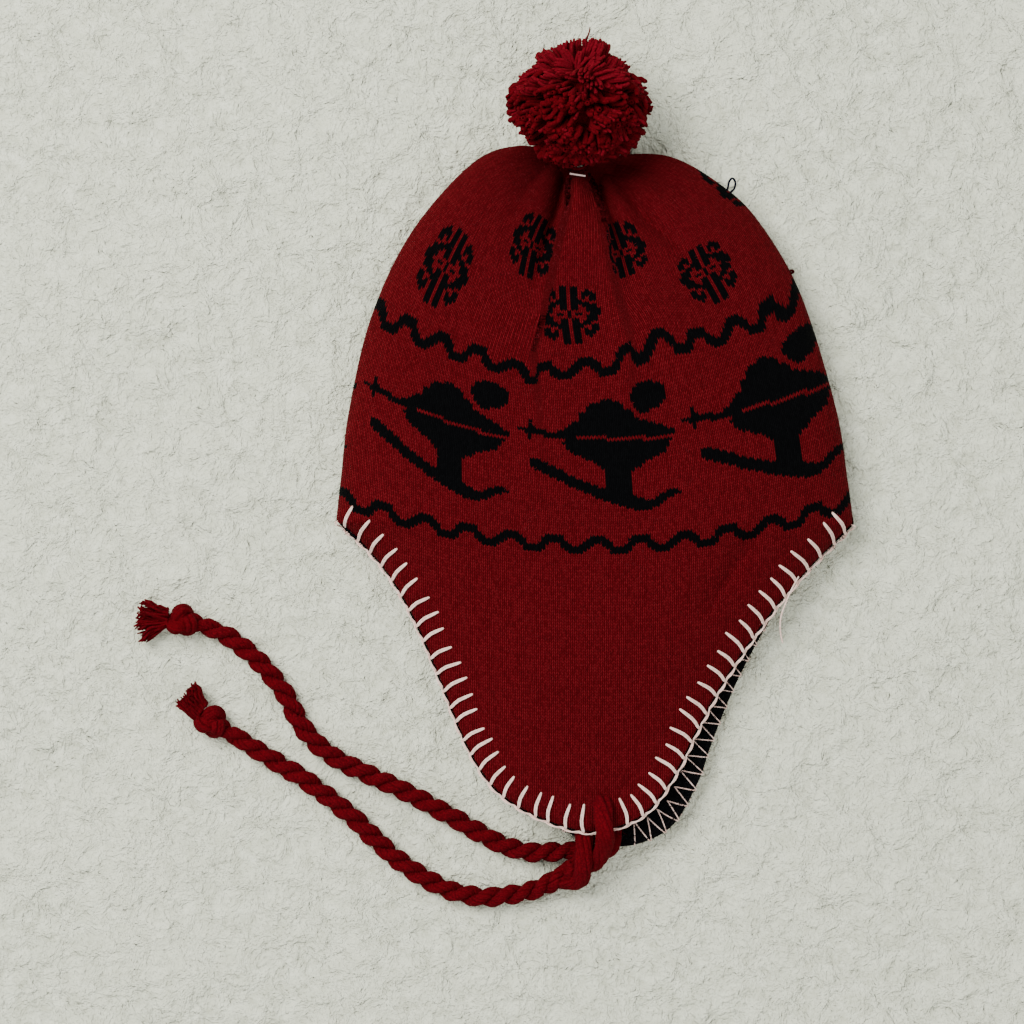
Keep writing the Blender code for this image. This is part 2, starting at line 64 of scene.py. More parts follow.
# Height against Y, of the near flap's middle and edge and of the far flap's edge
NEAR_MIDDLE = np.array([(-194, 22.3), (-175, 22.4), (-150, 24), (-120, 28.5), (-75, 34), (-42, 36), (0, 37)])
NEAR_EDGE = np.array([(-194, 22), (-175, 21.9), (-150, 18), (-130, 17), (-100, 18), (-75, 20), (-42, 10)])
FAR_EDGE = np.array([(-100, 0), (-75, 1.5), (-42, 10)], float)
COURSES = np.array([0, 15, 38, 70, 92, 115, 131, 142, 149], float)
HALF_WALES = 69
WALES_ROUND = 4 * HALF_WALES
WALE, COURSE = 1.86, 1.45
BRIM_ROW, LOWEST_COURSE, COURSES_UP = 100, -92, 150
FAR_SHIFT = (14, -7.5)
HINGE_Y, TIP_Y = -75, -194
FLAP_TOP, BRIM_DIP = -42, -63
FABRIC = 5.8
ROPE_LAY = 20
GATHER = (-9.0, 134.6, 11.5)


def smooth_at(table, t):
    table = np.asarray(table, float)
    t = np.clip(np.asarray(t, float), 0, len(table) - 1)
    i = np.minimum(t.astype(int), len(table) - 2)
    f = (t - i).reshape(t.shape + (1,) * (table.ndim - 1))
    p = np.concatenate([[2 * table[0] - table[1]], table, [2 * table[-1] - table[-2]]])
    p0, p1, p2, p3 = (p[i + k] for k in range(4))
    square, cube = 2 * p0 - 5 * p1 + 4 * p2 - p3, 3 * p1 - p0 - 3 * p2 + p3
    return .5 * (2 * p1 + (p2 - p0) * f + square * f ** 2 + cube * f ** 3)


def ease(t):
    t = np.clip(t, 0, 1)
    return t * t * (3 - 2 * t)


def run_along(line):
    """The distance along a line at each of its points."""
    return np.concatenate([[0], np.cumsum(np.linalg.norm(np.diff(line, axis=0), axis=1))])


def bell(t):
    return np.exp(-t ** 2)


def unit(v):
    return v / (np.linalg.norm(v, axis=-1, keepdims=True) + 1e-12)


def even(points, step):
    """Points every step along a smooth curve through the points."""
    fine = smooth_at(points, np.linspace(0, len(points) - 1, (len(points) - 1) * 60 + 1))
    run = run_along(fine)
    n = max(2, int(round(run[-1] / step)) + 1)
    at = np.linspace(0, run[-1], n)
    return np.stack([np.interp(at, run, fine[:, k]) for k in range(fine.shape[1])], 1)


EDGE = even(FLAP_EDGE, .5)
EDGE_RUN = run_along(EDGE)
EDGE_LONG = EDGE_RUN[-1]
TIP = int(np.argmin(EDGE[:, 1]))
FOLD_LINES = [smooth_at(RIBS[:, side], np.arange(121) / 20) for side in (0, 2)]


def sides_at(y):
    """X of the hat's outline at y, on the left and on the right."""
    found = []
    for half, fold in ((EDGE[:TIP + 1][::-1], FOLD_LINES[0]), (EDGE[TIP:], FOLD_LINES[1])):
        low = np.interp(y, half[:, 1], half[:, 0])
        high = np.interp(y, fold[:, 1], fold[:, 0])
        found.append(np.where(y < FLAP_TOP, low, high))
    return found


def across(x, y):
    left, right = sides_at(y)
    return np.clip(np.abs(2 * (x - left) / np.maximum(right - left, 1) - 1), 0, 1)


def near_height(x, y):
    middle = np.interp(y, *NEAR_MIDDLE.T)
    edge = np.interp(y, *NEAR_EDGE.T)
    root = np.interp(y, (-75, -42), (1, 2))
    power = 2 + root
    return edge + (middle - edge) * (1 - across(x, y) ** power) ** (1 / root)


def far_height(x, y):
    a = across(x, y)
    rise = np.interp(y, *FAR_EDGE.T) * (1 - (1 - a ** 8) ** .5)
    return np.maximum(0, rise) + 4.9 * ease((-125 - y) / 40)


def side_height(near, x, y, gap):
    """The flap's height on one side, or that of a surface this far inside it."""
    return near_height(x, y) - gap if near else far_height(x, y) + gap


def rib_plan(t, w):
    rib = smooth_at(RIBS, t)
    left, middle, right = rib[..., 0, :], rib[..., 1, :], rib[..., 2, :]
    w = w[..., None]
    return middle + w * (right - left) / 2 + w * w * ((right + left) / 2 - middle)


def line_distance(x, y, line):
    """Distance from each point to a line in plan, and the place along it."""
    best, at = np.full(x.shape, 1e9), np.zeros(x.shape)
    run = 0
    for a, b in zip(line[:-1], line[1:]):
        d = b - a
        long = np.hypot(*d)
        u = np.clip(((x - a[0]) * d[0] + (y - a[1]) * d[1]) / long ** 2, 0, 1)
        ex, ey = x - a[0] - u * d[0], y - a[1] - u * d[1]
        far = np.hypot(ex, ey)
        closer = far < best
        best = np.where(closer, far, best)
        at = np.where(closer, run + u * long, at)
        run += long
    return best, at


# How far the gather draws the near side's courses up, or lets them sag: the amount, the middle in X and the
# width, then where it starts in Y and over what length, and where it ends and over what length
PULLS = ((8.5, 28, 17, 26, 17, 52, 40), (-3.8, -33, 11, 18, 14, 48, 40), (-8, 100, 19, 36, 27, 63, 14))


def pull(x, y):
    return sum(amount * bell((x - middle) / width) * ease((y - start) / over) * (1 - ease((y - end) / fade))
               for amount, middle, width, start, over, end, fade in PULLS)


def crease(x, y, line, depth, width, soft):
    """A V groove along a line. The depths are spaced evenly along it."""
    line = np.asarray(line, float)
    far, at = line_distance(x, y, line)
    deep = np.interp(at / run_along(line)[-1], np.linspace(0, 1, len(depth)), depth)
    return -deep * np.exp(-(np.sqrt(far ** 2 + soft ** 2) - soft) / width)


# The route, the depths along it, the width and how soft the bottom is
CREASES = (
    ([(-12, 139), (-15, 129), (-20, 112), (-25, 95), (-29, 80), (-33, 68)],
     (12, 15, 12.5, 8, 3.5, 0), 2.7, 1.2),
    ([(-2, 139), (2, 128), (9, 110), (14, 92), (18, 74), (19, 64)], (11, 14, 11.5, 7.5, 3.2, 0), 2.7, 1.2),
    ([(6, 137), (13, 126), (26, 108), (38, 98), (47, 86), (53, 75)], (10, 10, 8, 5.5, 2.8, 0), 4, 1.6),
    ([(-22, 138), (-32, 126), (-40, 112), (-46, 98)], (6, 3.5, 1.6, 0), 6, 1.6),
    ([(18, 136), (36, 128), (52, 118)], (6, 2.6, 0), 6, 1.6),
    ([(84, -36), (79, -48), (70, -62), (60, -78), (50, -88)], (0, 2.8, 4.4, 2.6, 0), 5, 2.4),
    ([(-96, -18), (-84, -34), (-78, -52)], (0, .9, 0), 8, 3))
# Each soft mound's height, middle and half widths: the gather's dip, the hidden knot and the flap
MOUNDS = ((-5, -8, 141, 26, 11), (5.5, -8.5, 126, 6, 9), (1.3, 2, -105, 40, 45))


def relief(x, y):
    """What the gather, the puffed panels and the soft dents do to the near side's height."""
    z = sum(crease(x, y, *facts) for facts in CREASES)
    for height, mx, my, wide, long in MOUNDS:
        z = z + height * bell((x - mx) / wide) * bell((y - my) / long)
    z = z + .5 * np.sin(x / 19 + 1.3) * np.sin(y / 23 + .4)
    return z + .28 * np.sin(x / 8.3 + y / 11.1) * np.sin(y / 9.7 - x / 15.1 + 2)


# ---- helpers
def mesh_object(name, points, faces, materials, slots=None, uv=None):
    mesh = bpy.data.meshes.new(name)
    points = np.asarray(points, np.float32) * MM
    faces = np.asarray(faces)
    mesh.vertices.add(len(points))
    mesh.vertices.foreach_set("co", points.ravel())
    sides = faces.shape[1]
    mesh.loops.add(faces.size)
    mesh.loops.foreach_set("vertex_index", faces.ravel().astype(np.int32))
    mesh.polygons.add(len(faces))
    mesh.polygons.foreach_set("loop_start", (np.arange(len(faces)) * sides).astype(np.int32))
    if slots is not None:
        mesh.polygons.foreach_set("material_index", np.asarray(slots, np.int32))
    mesh.polygons.foreach_set("use_smooth", np.full(len(faces), True))
    for finish in materials:
        mesh.materials.append(finish)
    if uv is not None:
        layer = mesh.uv_layers.new(name="UVMap")
        layer.data.foreach_set("uv", np.asarray(uv, np.float32)[faces.ravel()].ravel())
    mesh.update(calc_edges=True)
    mesh.validate()
    item = bpy.data.objects.new(name, mesh)
    bpy.context.scene.collection.objects.link(item)
    return item


def frames_of(paths):
    """The direction, side and up along each path (n, k, 3), carried without twist."""
    d = unit(np.gradient(paths, axis=1))
    up = np.where(np.abs(d[:, :1, 2]) > .9, (1.0, 0, 0), (0, 0, 1.0))
    ups = np.zeros(paths.shape)
    for j in range(paths.shape[1]):
        ups[:, j] = up = unit(up - d[:, j] * (up * d[:, j]).sum(1)[:, None])
    return d, np.cross(d, ups), ups


def frame_along(path):
    return (v[0] for v in frames_of(path[None]))


def tubes(paths, radii, sides, caps=True):
    """One mesh of many round tubes: paths (n, k, 3), radii (n, k)."""
    paths = np.asarray(paths, float)
    n, k, _ = paths.shape
    _, right, ups = frames_of(paths)
    a = np.arange(sides) * 2 * math.pi / sides
    spoke = np.cos(a)[:, None] * right[:, :, None] + np.sin(a)[:, None] * ups[:, :, None]
    ring = paths[:, :, None] + np.asarray(radii)[:, :, None, None] * spoke
    base = (np.arange(n)[:, None, None] * k + np.arange(k - 1)[None, :, None]) * sides
    s = np.arange(sides)
    s2 = (s + 1) % sides
    faces = np.stack([base + s, base + s2, base + sides + s2, base + sides + s], -1).reshape(-1, 4)
    if caps:
        first = np.arange(n)[:, None] * k * sides
        last = first + (k - 1) * sides
        for cap in ((0, 3, 2, 1), (0, 5, 4, 3))[:sides // 2 - 1]:
            faces = np.concatenate([faces, first + np.array(cap), last + np.array(cap)[::-1]])
    return ring.reshape(-1, 3), faces


def tube(path, radius, sides):
    return tubes([path], [np.full(len(path), radius)], sides)


def hairs(start, mid, tip, radius):
    """Single loose fibres, each a thin three-sided tube."""
    return tubes(np.stack([start, mid, tip], 1), np.full((len(start), 3), radius), 3, caps=False)


def dome(centre, half, around, down, trim):
    """A round ball with small open poles."""
    turn = np.linspace(0, 2 * math.pi, around + 1)[:-1]
    a, b = np.meshgrid(turn, np.linspace(trim, math.pi - trim, down), indexing="ij")
    points = np.stack([np.cos(a) * np.sin(b), np.sin(a) * np.sin(b), np.cos(b)], -1) * half + centre
    index = np.arange(around * down).reshape(around, down)
    roll = np.roll(index, -1, 0)
    faces = np.stack([index[:, 1:], roll[:, 1:], roll[:, :-1], index[:, :-1]], -1)
    return points.reshape(-1, 3), faces.reshape(-1, 4)


def join(parts):
    points, faces, shift = [], [], 0
    for p, f in parts:
        points.append(p)
        faces.append(f + shift)
        shift += len(p)
    return np.concatenate(points), np.concatenate(faces)


# ---- materials
def rgb(r, g, b):
    """A colour given as a screen colour, in linear light."""
    return tuple(c / 255 / 12.92 if c <= 10 else ((c / 255 + .055) / 1.055) ** 2.4 for c in (r, g, b)) + (1,)


class Nodes:
    def __init__(self, name, colour, rough=.95, specular=.04):
        self.mat = bpy.data.materials.new(name)
        self.mat.use_nodes = True
        self.tree = self.mat.node_tree
        self.shader = self.tree.nodes["Principled BSDF"]
        self.shader.inputs["Base Color"].default_value = colour
        self.shader.inputs["Roughness"].default_value = rough
        self.shader.inputs["Specular IOR Level"].default_value = specular

    def put(self, socket, value):
        if isinstance(value, (int, float, tuple)):
            socket.default_value = value
        else:
            self.tree.links.new(value, socket)

    def math(self, op, a, b=0.0):
        n = self.tree.nodes.new("ShaderNodeMath")
        n.operation = op
        self.put(n.inputs[0], a)
        self.put(n.inputs[1], b)
        return n.outputs[0]

    def mix(self, share, a, b, mode="MIX"):
        n = self.tree.nodes.new("ShaderNodeMix")
        n.data_type = "RGBA"
        n.blend_type = mode
        self.put(n.inputs["Factor"], share)
        self.put(n.inputs["A"], a)
        self.put(n.inputs["B"], b)
        return n.outputs["Result"]

    def noise(self, scale, detail, rough=.5, distort=0.0):
        n = self.tree.nodes.new("ShaderNodeTexNoise")
        n.inputs["Distortion"].default_value = distort
        n.inputs["Scale"].default_value = scale
        n.inputs["Detail"].default_value = detail
        n.inputs["Roughness"].default_value = rough
        self.put(n.inputs["Vector"], self.coords("Object"))
        return n.outputs["Fac"]

    def coords(self, kind):
        found = [n for n in self.tree.nodes if n.bl_idname == "ShaderNodeTexCoord"]
        n = found[0] if found else self.tree.nodes.new("ShaderNodeTexCoord")
        return n.outputs[kind]

    def stretch(self, value, low, high, to_low=0.0, to_high=1.0):
        n = self.tree.nodes.new("ShaderNodeMapRange")
        for k, v in zip(("From Min", "From Max", "To Min", "To Max"), (low, high, to_low, to_high)):
            n.inputs[k].default_value = v
        self.put(n.inputs["Value"], value)
        return n.outputs["Result"]

    def bump(self, height, distance, strength=1.0, after=None):
        n = self.tree.nodes.new("ShaderNodeBump")
        n.inputs["Strength"].default_value = strength
        n.inputs["Distance"].default_value = distance
        self.put(n.inputs["Height"], height)
        if after is not None:
            self.put(n.inputs["Normal"], after)
        return n.outputs["Normal"]

    def finish(self, colour=None, normal=None):
        if colour is not None:
            self.put(self.shader.inputs["Base Color"], colour)
        if normal is not None:
            self.put(self.shader.inputs["Normal"], normal)
        return self.mat


def knit_material(name, base, light, dark, painted_highlight=None):
    m = Nodes(name, base)
    sep = m.tree.nodes.new("ShaderNodeSeparateXYZ")
    m.put(sep.inputs[0], m.coords("UV"))
    u, v = sep.outputs[0], sep.outputs[1]
    leg, row = (m.math("POWER", m.math("ABSOLUTE", m.math("SINE", m.math("MULTIPLY", place, rate))), power)
                for place, rate, power in ((u, 2 * math.pi, .6), (v, math.pi, .5)))
    height = m.math("MULTIPLY", leg, m.math("ADD", m.math("MULTIPLY", row, .55), .45))
    cell = m.tree.nodes.new("ShaderNodeCombineXYZ")
    m.put(cell.inputs[0], m.math("FLOOR", m.math("MULTIPLY", u, 2.0)))
    m.put(cell.inputs[1], m.math("FLOOR", v))
    white = m.tree.nodes.new("ShaderNodeTexWhiteNoise")
    white.noise_dimensions = "2D"
    m.put(white.inputs["Vector"], cell.outputs[0])
    rand = white.outputs["Value"]
    colour = m.mix(m.stretch(rand, 0, 1), dark, light)
    colour = m.mix(m.stretch(m.noise(260, 2), .35, .65, 0, .55), colour, base)
    if painted_highlight is not None:
        # Painted highlight on the top of each stitch leg, stronger on some stitches than others at random
        bright = m.stretch(rand, 0, 1, .12, .50)
        crown = m.stretch(height, .55, .98)
        colour = m.mix(m.math("MULTIPLY", bright, crown), colour, painted_highlight)
    # Painted shade in the grooves between the stitch legs, darker where the legs are low
    shade = m.stretch(height, 0, .75, .30, 1.0)
    gray = m.tree.nodes.new("ShaderNodeCombineXYZ")
    for k in range(3):
        m.put(gray.inputs[k], shade)
    colour = m.mix(1.0, colour, gray.outputs[0], "MULTIPLY")
    fibres = m.noise(1500, 2)
    normal = m.bump(m.math("ADD", height, m.math("MULTIPLY", fibres, .35)), .0007, .8)
    return m.finish(colour, normal)


def yarn_material(name, base, light, dark, scale=500, grain=.0003):
    m = Nodes(name, base)
    colour = m.mix(m.stretch(m.noise(scale, 3), .35, .68), dark, light)
    colour = m.mix(m.stretch(m.noise(60, 2), .3, .7, 0, .5), colour, base)
    normal = m.bump(m.noise(2600, 2), grain, .7)
    return m.finish(colour, normal)


# The red knit's last colour is a painted highlight for the tops of the stitch legs
RED = knit_material("knit_red", rgb(78, 2, 7), rgb(86, 3, 9), rgb(68, 1, 5), rgb(122, 29, 36))
BLACK = knit_material("knit_black", rgb(4, 4, 5), rgb(7, 7, 8), rgb(2, 2, 3))
YARN = yarn_material("crimson_yarn_finish", rgb(80, 3, 10), rgb(96, 8, 17), rgb(62, 1, 6), 1100)
# A lighter copy of the crimson yarn for the pompom's upper strands: painted light on its top
LIT_TOP_YARN = yarn_material("pompom_top_painted_light", rgb(94, 8, 17), rgb(112, 16, 27), rgb(78, 4, 11), 1100)
HAZE = yarn_material("loose_fibre_finish", rgb(100, 12, 20), rgb(128, 38, 46), rgb(80, 3, 10))
PILE = yarn_material("fleece_pile_finish", rgb(22, 22, 24), rgb(34, 34, 36), rgb(10, 10, 12), 900)
FLEECE = yarn_material("black_fleece_finish", rgb(6, 6, 7), rgb(12, 12, 13), rgb(2, 2, 3), 900, .0006)
THREAD = yarn_material("pale_thread_finish", rgb(242, 206, 190), rgb(250, 224, 210), rgb(214, 174, 158), 700,
                       .0001)
PIN = yarn_material("pin_finish", rgb(222, 190, 182), rgb(230, 200, 190), rgb(205, 175, 168), 300, .00002)
NAVY = yarn_material("navy_yarn_finish", rgb(12, 13, 26), rgb(18, 20, 36), rgb(6, 7, 16))

# ---- motifs
# Each row lists the black stitches of one course as first-last wale, from the top course down
SKIER_ROWS = """35-39|33-41|33-42|32-42|24-26 32-42|21-28 32-42|20-29 33-42|20-29 33-41|18-31 34-40
18-32 35-37|18-32|3-3 16-34|3-3 15-36|3-4 14-38|0-8 12-40|2-41|3-3 8-16 25-43|3-3 14-24 36-43|13-34
14-42|14-41|15-41|16-40|18-40|19-38|4-6 21-36|4-8 22-34|4-10 23-33|5-12 24-31|7-13 24-30|9-15 24-30
11-17 24-30|13-19 24-30|14-21 24-30|16-30|18-30|20-30 40-42|21-31 38-43|23-33 37-41|25-35 36-39|27-38
29-37|31-35"""
SKIER = [row.split() for row in SKIER_ROWS.replace("\n", "|").split("|")]
HALF_FLAKE = """......##.##......
...#..##.##..#...
..###.##.##.###..
.####.##.##.####.
.##.#.##.##.#.##.
.##..###.###..##.
...#####.#####...
.####.##.##.####.
.###..##.##..###.
####....#....####
###..##.#.##..###""".split("\n")
FLAKE = HALF_FLAKE + HALF_FLAKE[-2::-1] + HALF_FLAKE[:1]
WAVES = (8, 71)
SKIERS = (63, 1)
FLAKE_ROWS = ((101, (-53, -2, 46, 90, 136, 180)), (123, (-26, 23, 73, 115, 159)))


def motif_map():
    """True where a stitch is black, by course and by wale, counted from the middle of the near side."""
    black = np.zeros((3 * BRIM_ROW, WALES_ROUND), bool)
    wales = np.arange(WALES_ROUND)
    wave = np.round(np.clip(2.8 * np.sin(2 * np.pi * (wales + 2) / 11.5), -2, 2)).astype(int)
    after = np.roll(wave, -1)
    for base in WAVES:
        for wale in wales:
            low, high = min(wave[wale], after[wale]) - 1, max(wave[wale], after[wale]) + 1
            black[BRIM_ROW + base + low:BRIM_ROW + base + high + 1, wale] = True
    top, centre = SKIERS
    for copy in range(6):
        for r, row in enumerate(SKIER):
            for run in row:
                a, b = map(int, run.split("-"))
                across_skier = np.arange(a, b + 1) - 21 + centre + WALES_ROUND // 6 * copy
                black[BRIM_ROW + top - r, across_skier % WALES_ROUND] = True
    for top, centres in FLAKE_ROWS:
        for centre in centres:
            for r, row in enumerate(FLAKE):
                marks = np.array([c for c, mark in enumerate(row) if mark == "#"])
                black[BRIM_ROW + top - r, (marks + centre - 8) % WALES_ROUND] = True
    return black


MOTIFS = motif_map()

# ---- knit surfaces
# By place in RIBS: how many wales the left and right pleats hide, and how far from the middle they are
PLEAT_HIDES = np.array([(0, 0, 0), (2, 0, 0), (3, 3, 2), (4, 10, 7), (5, 12, 9), (6, 16, 12), (7, 24, 16),
                        (8, 26, 18)], float)
PLEAT_AT = np.array([(3.4, -23, 24), (4, -15, 22), (5, -8, 17), (6, -4, 12), (8, -2, 3)], float)


def wale_places(t, wales):
    """w, from -1 to 1, of each wale on each rib place t, with some fabric hidden in the two pleats."""
    found = np.zeros((len(t), len(wales)))
    u = np.linspace(-1, 1, 801)
    for k, place in enumerate(t):
        left, _, right = smooth_at(RIBS, np.array(place))
        x = u * (right[0] - left[0]) / 2
        (hides_l, x_l), (hides_r, x_r) = ([np.interp(place, table[:, 0], table[:, side])
                                           for table in (PLEAT_HIDES, PLEAT_AT)] for side in (1, 2))
        p = x / WALE + hides_r * ease((x - x_r + 2.5) / 5) - hides_l * ease((x_l + 2.5 - x) / 5)
        for sign in (-1, 1):
            end = p[-1] if sign > 0 else -p[0]
            p = p + sign * (HALF_WALES - end) * np.clip(sign * u, 0, 1) ** 2.2
        p = np.maximum.accumulate(p) + np.linspace(0, 1e-6, len(p))
        found[k] = np.interp(wales, p, u)
    return found


def edge_at(run):
    """The points of the flap's edge, in plan, at these distances along it."""
    return np.stack([np.interp(run, EDGE_RUN, EDGE[:, k]) for k in (0, 1)], 1)


def edge_normal(run):
    """The inward normal of the flap's edge, in plan."""
    d = unit(edge_at(run + 1.5) - edge_at(run - 1.5))
    return np.stack([-d[:, 1], d[:, 0]], 1)


def shifted(near, x, y):
    """The far flap lies a little to the right of the near one and below it."""
    share = 0 if near else np.clip((y - HINGE_Y) / (TIP_Y - HINGE_Y), 0, 1)
    return x + FAR_SHIFT[0] * share, y + FAR_SHIFT[1] * share


def inside_edge(x, y):
    left, right = (np.interp(y, half[:, 1], half[:, 0]) for half in (EDGE[:TIP + 1][::-1], EDGE[TIP:]))
    return (x > left) & (x < right) & (y > EDGE[TIP, 1])


def nearest_edge(x, y):
    """The nearest point of the flap's edge in plan, how far it is and the place along the edge."""
    flat = np.stack([x.ravel(), y.ravel()], 1)
    out = np.zeros((len(flat), 4))
    for first in range(0, len(flat), 4000):
        part = flat[first:first + 4000]
        d = np.hypot(part[:, None, 0] - EDGE[None, :, 0], part[:, None, 1] - EDGE[None, :, 1])
        k = d.argmin(1)
        out[first:first + 4000] = np.column_stack([EDGE[k], d[np.arange(len(part)), k], EDGE_RUN[k]])
    return [out[:, k].reshape(x.shape) for k in range(4)]


STITCHES = int(EDGE_LONG / 8.6)
STITCH_PITCH = EDGE_LONG / STITCHES
STITCH_RUN = (np.arange(STITCHES) + .5) * STITCH_PITCH


def puckers(x, y):
    """The fabric puffs up between the blanket stitches' legs and is drawn in at its very edge."""
    _, _, far, run = nearest_edge(x, y)
    wave = np.abs(np.sin(np.pi * (run / STITCH_PITCH - .5)))
    return 1.1 * (wave ** .7 - .55) * np.clip(1 - far / 13, 0, 1) ** .6 - 1.6 * np.exp(-far / 1.2)


def grid_quads(shape):
    index = np.arange(shape[0] * shape[1]).reshape(shape)
    return np.stack([index[:-1, :-1], index[:-1, 1:], index[1:, 1:], index[1:, :-1]], -1)


def four_corners(flags):
    return flags[:-1, :-1], flags[:-1, 1:], flags[1:, 1:], flags[1:, :-1]


def onto_edge(near, c, x, y, z, reach, gap):
    """Moves the points just outside the flap's edge onto it, and picks the faces that stay."""
    below = c < 0
    inside = np.ones(x.shape, bool)
    inside[below] = inside_edge(x[below], y[below])
    edge_x, edge_y, far, _ = nearest_edge(x, y)
    snapped = ~inside & (far < reach)
    x, y = np.where(snapped, edge_x, x), np.where(snapped, edge_y, y)
    z = np.where(snapped, side_height(near, x, y, gap), z)
    alive = np.all(four_corners(inside | snapped), axis=0)
    return x, y, z, far, alive & np.any(four_corners(inside), axis=0)


def flap_rim(points, faces):
    """The open edges along the flap and the brim's corners, and their points."""
    ends = np.concatenate([faces[:, [0, 1]], faces[:, [1, 2]], faces[:, [2, 3]], faces[:, [3, 0]]])
    _, first, count = np.unique(np.sort(ends, 1), axis=0, return_index=True, return_counts=True)
    rim = ends[first[count == 1]]
    rim = rim[points[rim].mean(1)[:, 1] < -39]
    return rim, np.unique(rim)


def add_rings(points, faces, rim, edge, offsets):
    """A strip of faces past the rim for each offset from the rim's points."""
    place = np.full(len(points), -1)
    place[edge] = np.arange(len(edge))
    a, b = place[rim].T
    previous, total = edge, len(points)
    all_points, all_faces = [points], [faces]
    for offset in offsets:
        all_points.append(points[edge] + offset)
        all_faces.append(np.stack([previous[b], previous[a], total + a, total + b], 1))
        previous = total + np.arange(len(edge))
        total += len(edge)
    return np.concatenate(all_points), np.concatenate(all_faces)


def trimmed(faces):
    """The points that the faces use, and the faces by their new numbers."""
    used, where = np.unique(faces, return_inverse=True)
    return used, where.reshape(faces.shape)


def rib_at(course):
    """The place of a course in RIBS; all that is below the brim has the brim's own place."""
    return np.interp(np.maximum(course, 0), COURSES, np.arange(len(COURSES)))


def laid_out(c, w):
    """X and Y in plan of each course c and share w of the width, and the place in RIBS."""
    tt = rib_at(c)
    plan = rib_plan(tt, w)
    x, y = plan[..., 0].copy(), plan[..., 1].copy()
    bow = (y - BRIM_DIP) * np.clip(1 + c / 120, 0, 1)
    return x, np.where(c < 0, BRIM_DIP + bow + COURSE * c, y), tt


def side_surface(near, c, w, power, inset=0, gap=0):
    """x, y, z and the place in RIBS of one side, set in by inset on the crown and by gap on the flap."""
    x, y, tt = laid_out(c, w)
    top, fold, bottom = np.moveaxis(smooth_at(HEIGHTS, tt), -1, 0)
    rise = top - fold - inset if near else bottom - fold + inset
    z = fold + rise * np.clip(1 - np.abs(w) ** power, 0, 1) ** .5
    low = side_height(near, x, y, gap)
    low = np.where((c < 0) | (np.abs(w) <= .999), low, z)
    return x, y, np.where(c < 0, low, low + (z - low) * ease(tt)), tt


def knit_sheet(name, near):
    """One side of the knit, two columns of faces to each wale and one row to each course."""
    courses = np.arange(LOWEST_COURSE, COURSES_UP)
    first, last = (-HALF_WALES, HALF_WALES) if near else (HALF_WALES, 3 * HALF_WALES)
    wales = np.arange(2 * first, 2 * last + 1) / 2
    even_w = np.tile((2 * HALF_WALES - wales) / HALF_WALES, (len(courses), 1))
    w = wale_places(rib_at(courses), wales) if near else even_w
    zig = np.abs(((wales % 1) - .5) * 2)  # 1 on the wale's edge, 0 in its middle
    c = courses[:, None] + .85 * (zig[None, :] - .5)
    roundness = ease((rib_at(c) - 4) / 4)
    x, y, z, _ = side_surface(near, c, w, 4 - 2 * roundness if near else 8 - 6 * roundness)
    if near:
        y = y + pull(x, y) * np.clip((1 - np.abs(w)) / .14, 0, 1)
        z = z + relief(x, y) * np.clip((1 - np.abs(w)) / .12, 0, 1)
    x, y, z, far, ok = onto_edge(near, c, x, y, z, 2.6, 0)
    if near:
        bumpy = far < 14
        z[bumpy] += puckers(x[bumpy], y[bumpy])
    x, y = shifted(near, x, y)
    z = z if near else np.maximum(z, .15)
    for row, share in ((-3, .12), (-2, .45), (-1, .97)):
        x[row], y[row], z[row] = (v[row] + (m - v[row]) * share for v, m in zip((x, y, z), GATHER))
    wale_id = np.floor(wales[:-1] + 1e-6).astype(int) % WALES_ROUND
    faces = grid_quads(x.shape)[ok]
    slots = MOTIFS[BRIM_ROW + courses[:-1]][:, wale_id].astype(int)[ok]
    points = np.stack([x, y, z], -1).reshape(-1, 3)
    uv = np.stack(np.broadcast_arrays(wales[None, :], courses[:, None]), -1).reshape(-1, 2) + (400, 400)
    rim, edge = flap_rim(points, faces)
    points, faces = add_rings(points, faces, rim, edge, [(0, 0, -2.6 if near else 2.6)])
    uv = np.concatenate([uv, uv[edge] + (0, 1)])
    slots = np.concatenate([slots, np.zeros(len(rim), int)])
    used, faces = trimmed(faces)
    return mesh_object(name, points[used], faces, [RED, BLACK], slots, uv=uv[used])


near_knit = knit_sheet("knit_near_side", True)
far_knit = knit_sheet("knit_far_side", False)
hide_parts("near_flap_knit")
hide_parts("cap_knit_shell", "far_flap_knit")
for knit, near in ((near_knit, True), (far_knit, False)):
    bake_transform(knit)

# ---- ties
NEAR_FRONT_LEG = [
    (3.4, -178.5, 16), (3.6, -181.5, 24.4), (4.2, -187.5, 27.2), (4.9, -194, 27.4), (5.0, -199, 24.6),
    (4.0, -203.5, 20), (2.0, -207.5, 16), (-1, -210.3, 12.8), (-5, -211.3, 11.6), (-9.5, -212.3, 11.2),
    (-14.5, -215.6, 10.2)]
NEAR_BACK_LEG = [
    (-3, -184, 13), (-4.4, -190, 13.4), (-5.0, -195, 14.6), (-5.1, -200, 17), (-5.2, -206, 18.2),
    (-5.6, -211.5, 17.4), (-6.2, -216, 14.6), (-8.2, -219.3, 10.6), (-12.5, -219.3, 8.6),
    (-18, -219.4, 8.2)]
FAR_LEGS = [
    (-14.4, -204.8, 6.4), (-11.4, -204.8, 6.6), (-5, -205.4, 7.4), (1, -205.8, 8.8), (6, -205.4, 13),
    (9, -202.8, 17.6), (10.6, -195, 13.6), (12, -188, 13.1), (12.2, -183.5, 12.4), (12, -181, 8),
    (12, -183.5, 3.4), (11.6, -188, 3), (10, -196, 3), (6, -202.6, 3), (0, -204.8, 3), (-6, -205, 3),
    (-11.4, -204.8, 3)]
